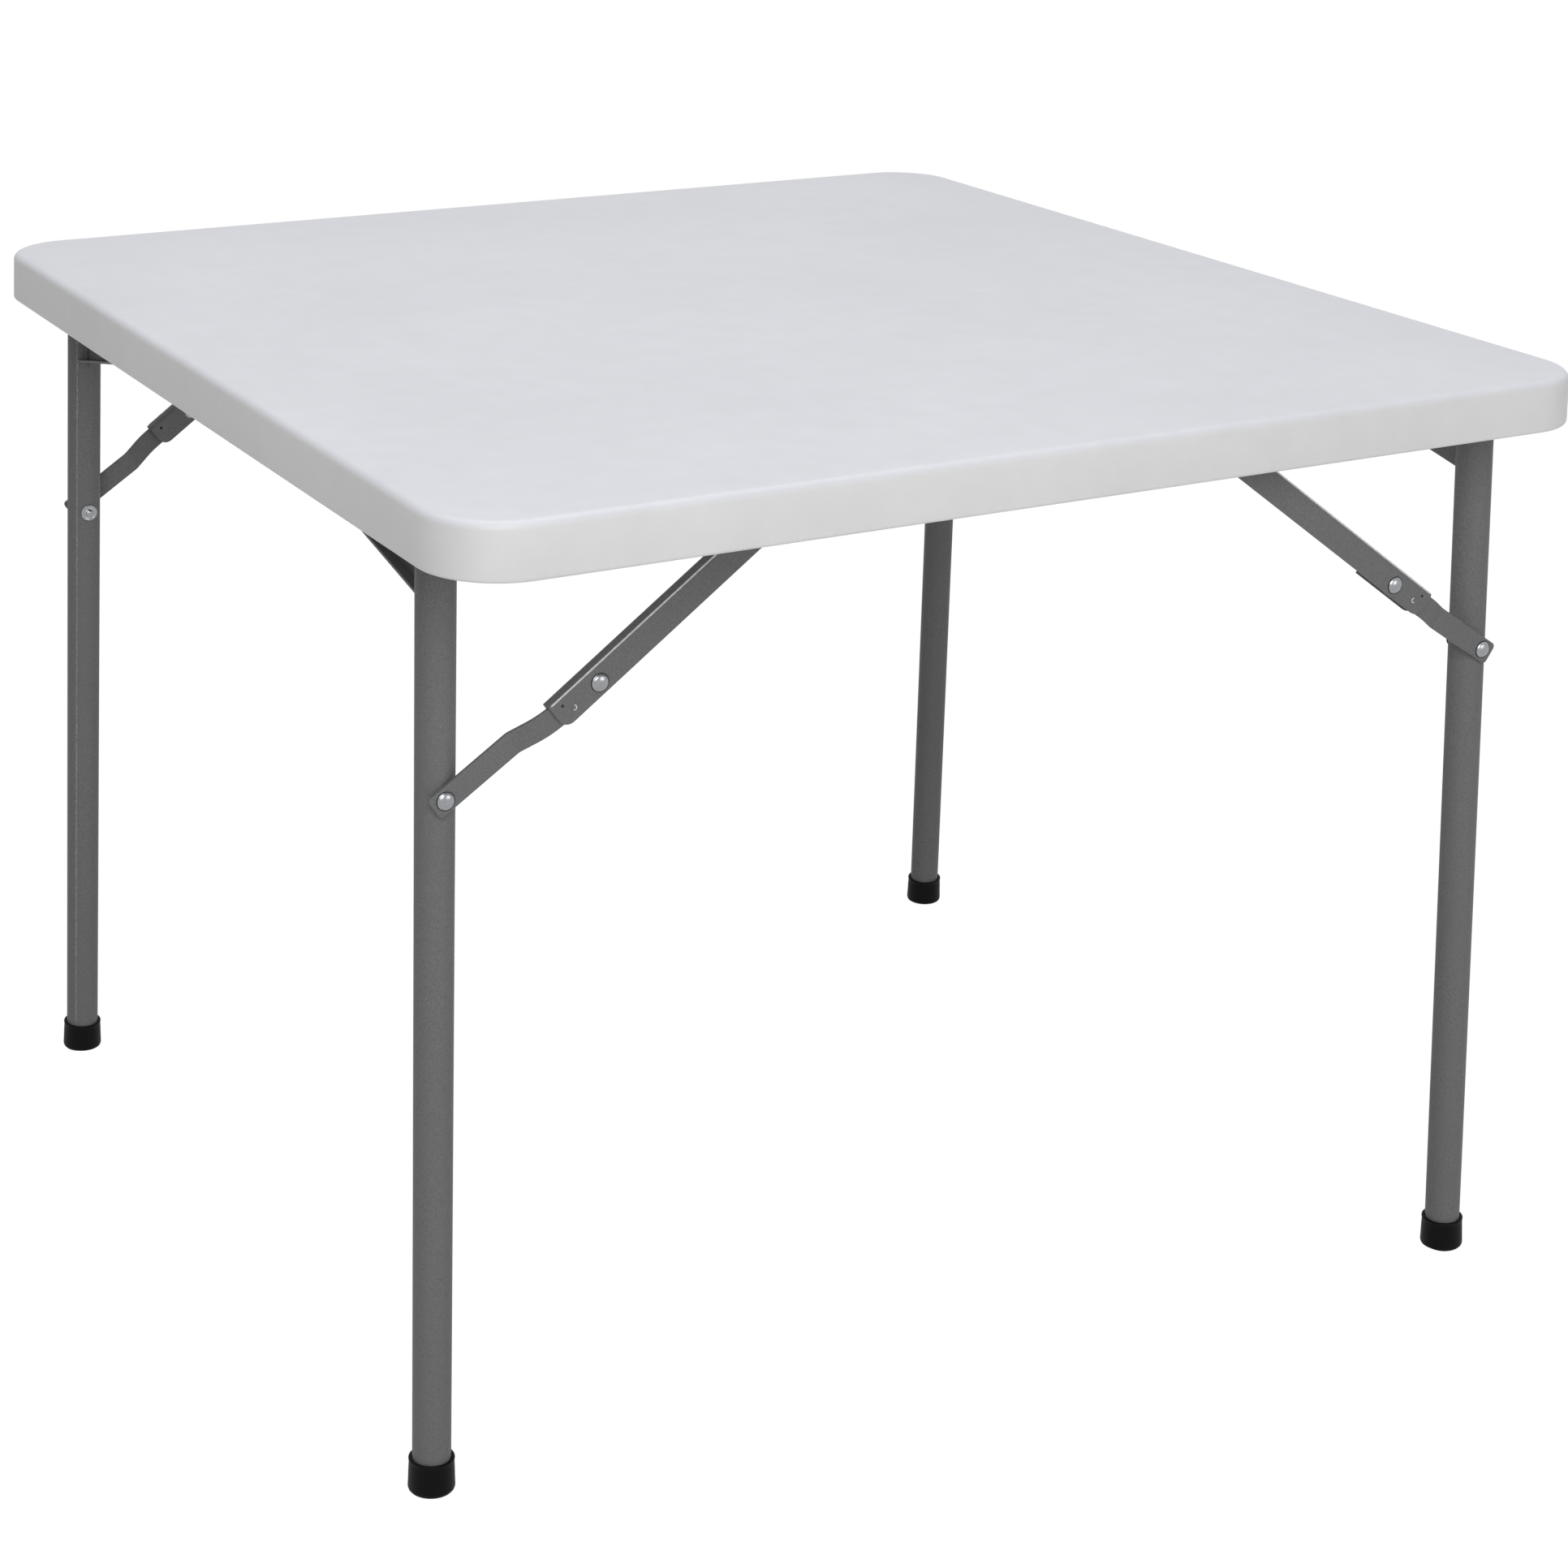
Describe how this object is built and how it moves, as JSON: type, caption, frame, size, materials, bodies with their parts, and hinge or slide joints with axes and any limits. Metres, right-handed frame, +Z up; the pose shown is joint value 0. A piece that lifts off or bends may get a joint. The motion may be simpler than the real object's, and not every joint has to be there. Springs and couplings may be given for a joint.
{
  "type": "folding card table",
  "caption": "Square card table with a moulded plastic top and steel leg frames that fold under it on jointed braces.",
  "frame": {"origin": "on the floor under the middle of the top", "axes": "+Z up through the top, X across the two leg frames in the way the legs fold, Y along the cross tubes"},
  "size_m": [0.9148, 0.9148, 0.724],
  "materials": {
    "moulded_top": "pale grey high-density polyethylene with a fine pebbled face",
    "frame_paint": "dark grey hammered powder coat on steel",
    "bracket_zinc": "dark grey hammered powder coat on pressed steel",
    "fastener_zinc": "bright zinc plated steel",
    "cap_plastic": "black polyethylene"
  },
  "bodies": {
    "top": {"tabletop": "moulded_top", "pivot_bracket_screws": "fastener_zinc", "brace_bracket_screws": "fastener_zinc", "pivot_bracket_a_inner": "bracket_zinc", "brace_bracket_a_inner": "bracket_zinc", "hanger_rivet_a_inner": "fastener_zinc", "pivot_bracket_a_outer": "bracket_zinc", "brace_bracket_a_outer": "bracket_zinc", "hanger_rivet_a_outer": "fastener_zinc", "pivot_bracket_b_inner": "bracket_zinc", "brace_bracket_b_inner": "bracket_zinc", "hanger_rivet_b_inner": "fastener_zinc", "pivot_bracket_b_outer": "bracket_zinc", "brace_bracket_b_outer": "bracket_zinc", "hanger_rivet_b_outer": "fastener_zinc"},
    "frame_a": {"crossbar_a": "frame_paint", "leg_a_inner": "frame_paint", "gusset_a_inner": "frame_paint", "foot_cap_a_inner": "cap_plastic", "leg_rivet_a_inner": "fastener_zinc", "leg_a_outer": "frame_paint", "gusset_a_outer": "frame_paint", "foot_cap_a_outer": "cap_plastic", "leg_rivet_a_outer": "fastener_zinc"},
    "frame_b": {"crossbar_b": "frame_paint", "leg_b_inner": "frame_paint", "gusset_b_inner": "frame_paint", "foot_cap_b_inner": "cap_plastic", "leg_rivet_b_inner": "fastener_zinc", "leg_b_outer": "frame_paint", "gusset_b_outer": "frame_paint", "foot_cap_b_outer": "cap_plastic", "leg_rivet_b_outer": "fastener_zinc"},
    "channel_a_inner": {"brace_channel_a_inner": "frame_paint", "elbow_rivet_a_inner": "fastener_zinc"},
    "bar_a_inner": {"brace_bar_a_inner": "frame_paint", "leg_rivet_head_a_inner": "fastener_zinc"},
    "channel_a_outer": {"brace_channel_a_outer": "frame_paint", "elbow_rivet_a_outer": "fastener_zinc"},
    "bar_a_outer": {"brace_bar_a_outer": "frame_paint", "leg_rivet_head_a_outer": "fastener_zinc"},
    "channel_b_inner": {"brace_channel_b_inner": "frame_paint", "elbow_rivet_b_inner": "fastener_zinc"},
    "bar_b_inner": {"brace_bar_b_inner": "frame_paint", "leg_rivet_head_b_inner": "fastener_zinc"},
    "channel_b_outer": {"brace_channel_b_outer": "frame_paint", "elbow_rivet_b_outer": "fastener_zinc"},
    "bar_b_outer": {"brace_bar_b_outer": "frame_paint", "leg_rivet_head_b_outer": "fastener_zinc"}
  },
  "joints": [
    {"name": "frame_a_fold", "type": "hinge", "parent": "top", "child": "frame_a", "pos_m": [-0.4055, 0, 0.6913], "axis": [0, -1, 0], "range_deg": [0, 91.9]},
    {"name": "frame_b_fold", "type": "hinge", "parent": "top", "child": "frame_b", "pos_m": [0.4055, 0, 0.6913], "axis": [0, 1, 0], "range_deg": [0, 91.9]},
    {"name": "channel_a_inner_swing", "type": "hinge", "parent": "top", "child": "channel_a_inner", "pos_m": [-0.1455, -0.3177, 0.6913], "axis": [0, 1, 0], "range_deg": [0, 35.91]},
    {"name": "bar_a_inner_swing", "type": "hinge", "parent": "channel_a_inner", "child": "bar_a_inner", "pos_m": [-0.307, -0.3177, 0.57441], "axis": [0, -1, 0], "range_deg": [0, 182.51]},
    {"name": "channel_a_outer_swing", "type": "hinge", "parent": "top", "child": "channel_a_outer", "pos_m": [-0.1455, 0.3851, 0.6913], "axis": [0, 1, 0], "range_deg": [0, 35.91]},
    {"name": "bar_a_outer_swing", "type": "hinge", "parent": "channel_a_outer", "child": "bar_a_outer", "pos_m": [-0.307, 0.3851, 0.57441], "axis": [0, -1, 0], "range_deg": [0, 182.51]},
    {"name": "channel_b_inner_swing", "type": "hinge", "parent": "top", "child": "channel_b_inner", "pos_m": [0.1455, 0.3177, 0.6913], "axis": [0, -1, 0], "range_deg": [0, 35.91]},
    {"name": "bar_b_inner_swing", "type": "hinge", "parent": "channel_b_inner", "child": "bar_b_inner", "pos_m": [0.307, 0.3177, 0.57441], "axis": [0, 1, 0], "range_deg": [0, 182.51]},
    {"name": "channel_b_outer_swing", "type": "hinge", "parent": "top", "child": "channel_b_outer", "pos_m": [0.1455, -0.3851, 0.6913], "axis": [0, -1, 0], "range_deg": [0, 35.91]},
    {"name": "bar_b_outer_swing", "type": "hinge", "parent": "channel_b_outer", "child": "bar_b_outer", "pos_m": [0.307, -0.3851, 0.57441], "axis": [0, 1, 0], "range_deg": [0, 182.51]}
  ],
  "couplings": [
    {"joint": "channel_a_inner_swing", "follows": "frame_a_fold", "ratio": 0.3906},
    {"joint": "bar_a_inner_swing", "follows": "frame_a_fold", "ratio": 1.9859},
    {"joint": "channel_a_outer_swing", "follows": "frame_a_fold", "ratio": 0.3906},
    {"joint": "bar_a_outer_swing", "follows": "frame_a_fold", "ratio": 1.9859},
    {"joint": "channel_b_inner_swing", "follows": "frame_b_fold", "ratio": 0.3906},
    {"joint": "bar_b_inner_swing", "follows": "frame_b_fold", "ratio": 1.9859},
    {"joint": "channel_b_outer_swing", "follows": "frame_b_fold", "ratio": 0.3906},
    {"joint": "bar_b_outer_swing", "follows": "frame_b_fold", "ratio": 1.9859}
  ]
}
